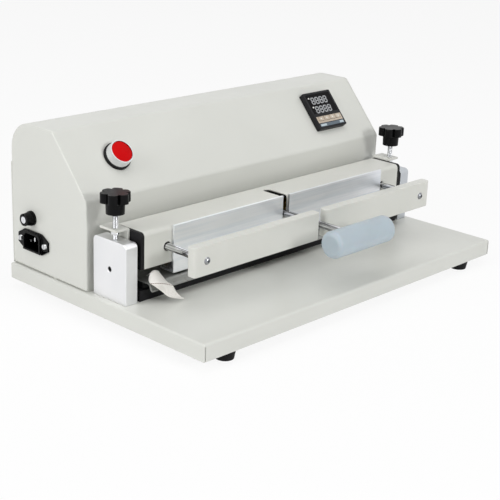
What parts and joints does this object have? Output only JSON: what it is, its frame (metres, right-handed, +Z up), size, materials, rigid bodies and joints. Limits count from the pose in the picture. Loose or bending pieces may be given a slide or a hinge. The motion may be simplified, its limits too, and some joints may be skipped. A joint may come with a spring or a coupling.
{
  "type": "book hinge press",
  "caption": "Desk press that creases the hinges of hard-cover books: heated shoes on a beam between pillars, worked by a lever with a T-grip, on a sheet base with a sloped electric housing.",
  "frame": {"origin": "centre of the base pan's outline, on the surface that the feet stand on", "axes": "+X to the right along the beam, -Y towards the user, +Z up"},
  "size_m": [0.4672, 0.2971, 0.1819],
  "materials": {
    "grey_coat": "light warm grey powder coat, fine texture",
    "white_coat": "off-white powder coat",
    "aluminium": "satin anodised",
    "bright_steel": "bright plated",
    "steel": "plain zinc plated",
    "black_screw": "blackened",
    "brass": "turned",
    "jaw_steel": "dull grey sheet",
    "heater": "heat-tinted sheath",
    "rubber": "matte black",
    "black_plastic": "moulded black",
    "black_board": "cut insulating board",
    "dark_window": "smoked display window",
    "contact_plastic": "moulded green",
    "red_plastic": "moulded red, slight gloss",
    "key_plastic": "beige key",
    "grip_plastic": "pale blue-grey moulded",
    "cloth": "white woven heat cloth"
  },
  "bodies": {
    "base": {"base_pan": "grey_coat", "rubber_feet": "rubber", "foot_screws": "steel", "housing_cover": "grey_coat", "left_side_panel": "grey_coat", "right_side_panel": "grey_coat", "rear_panel": "grey_coat", "rear_panel_screws": "steel", "button_gasket": "rubber", "button_bezel": "bright_steel", "button_nut": "steel", "button_contact_block": "contact_plastic", "controller_case": "black_plastic", "controller_window": "dark_window", "controller_clamp": "black_plastic", "fuse_holder": "black_plastic", "inlet_socket": "black_plastic", "inlet_pins": "steel", "inlet_screws": "steel", "left_pillar": "aluminium", "right_pillar": "aluminium", "pillar_set_screws": "black_screw", "pillar_bolts": "steel", "lower_jaw": "jaw_steel", "jaw_insulators": "black_board", "lower_heater": "heater", "heat_cloth": "cloth"},
    "beam": {"beam_cover": "white_coat", "left_end_plate": "black_board", "right_end_plate": "black_board", "end_plate_screws": "brass", "left_bracket": "white_coat", "right_bracket": "white_coat", "bracket_nuts": "steel", "beam_bar": "steel", "shaft_bearings": "brass", "guide_blocks": "steel", "left_guard_bar": "white_coat", "right_guard_bar": "white_coat", "guard_rods": "bright_steel", "guard_screws": "bright_steel"},
    "press": {"left_shoe": "aluminium", "right_shoe": "aluminium", "press_bar": "steel", "heater_rods": "heater", "guide_pins": "steel"},
    "lever": {"crank_shaft": "steel", "lever_rod": "bright_steel", "lever_grip": "grip_plastic"},
    "knob_left": {"left_spindle": "steel", "left_knob": "black_plastic"},
    "knob_right": {"right_spindle": "steel", "right_knob": "black_plastic"},
    "button": {"button_cap": "red_plastic"},
    "fuse_cap": {"fuse_cap": "black_plastic"},
    "key_1": {"key_1": "key_plastic"},
    "key_2": {"key_2": "key_plastic"},
    "key_3": {"key_3": "key_plastic"},
    "key_4": {"key_4": "key_plastic"}
  },
  "joints": [
    {"name": "beam_lift", "type": "slide", "parent": "base", "child": "beam", "axis": [0, 0, 1], "range_m": [-0.0017, 0.0105]},
    {"name": "knob_left_turn", "type": "hinge", "parent": "base", "child": "knob_left", "pos_m": [-0.2152, -0.0055, 0.101], "axis": [0, 0, -1], "range_deg": [-613, 3781]},
    {"name": "knob_right_turn", "type": "hinge", "parent": "base", "child": "knob_right", "pos_m": [0.2152, -0.0055, 0.101], "axis": [0, 0, -1], "range_deg": [-613, 3781]},
    {"name": "press_slide", "type": "slide", "parent": "beam", "child": "press", "axis": [0, 0, 1], "range_m": [0, 0.008]},
    {"name": "lever_swing", "type": "hinge", "parent": "beam", "child": "lever", "pos_m": [0, -0.006, 0.0785], "axis": [-1, 0, 0], "range_deg": [0, 90]},
    {"name": "button_push", "type": "slide", "parent": "base", "child": "button", "axis": [0, 0.7536, -0.6573], "range_m": [0, 0.003], "stiffness_N_per_m": 600, "springref_m": -0.002},
    {"name": "fuse_turn", "type": "hinge", "parent": "base", "child": "fuse_cap", "pos_m": [-0.2267, 0.1125, 0.084], "axis": [-1, 0, 0], "range_deg": [0, 90]},
    {"name": "key_1_push", "type": "slide", "parent": "base", "child": "key_1", "axis": [0, 0.7536, -0.6573], "range_m": [0, 0.0005], "stiffness_N_per_m": 1500, "springref_m": -0.0003},
    {"name": "key_2_push", "type": "slide", "parent": "base", "child": "key_2", "axis": [0, 0.7536, -0.6573], "range_m": [0, 0.0005], "stiffness_N_per_m": 1500, "springref_m": -0.0003},
    {"name": "key_3_push", "type": "slide", "parent": "base", "child": "key_3", "axis": [0, 0.7536, -0.6573], "range_m": [0, 0.0005], "stiffness_N_per_m": 1500, "springref_m": -0.0003},
    {"name": "key_4_push", "type": "slide", "parent": "base", "child": "key_4", "axis": [0, 0.7536, -0.6573], "range_m": [0, 0.0005], "stiffness_N_per_m": 1500, "springref_m": -0.0003}
  ],
  "couplings": [
    {"joint": "knob_left_turn", "follows": "beam_lift", "rad_per_m": 6283.2},
    {"joint": "knob_right_turn", "follows": "beam_lift", "rad_per_m": 6283.2},
    {"joint": "lever_swing", "follows": "press_slide", "rad_per_m": 196.34}
  ]
}
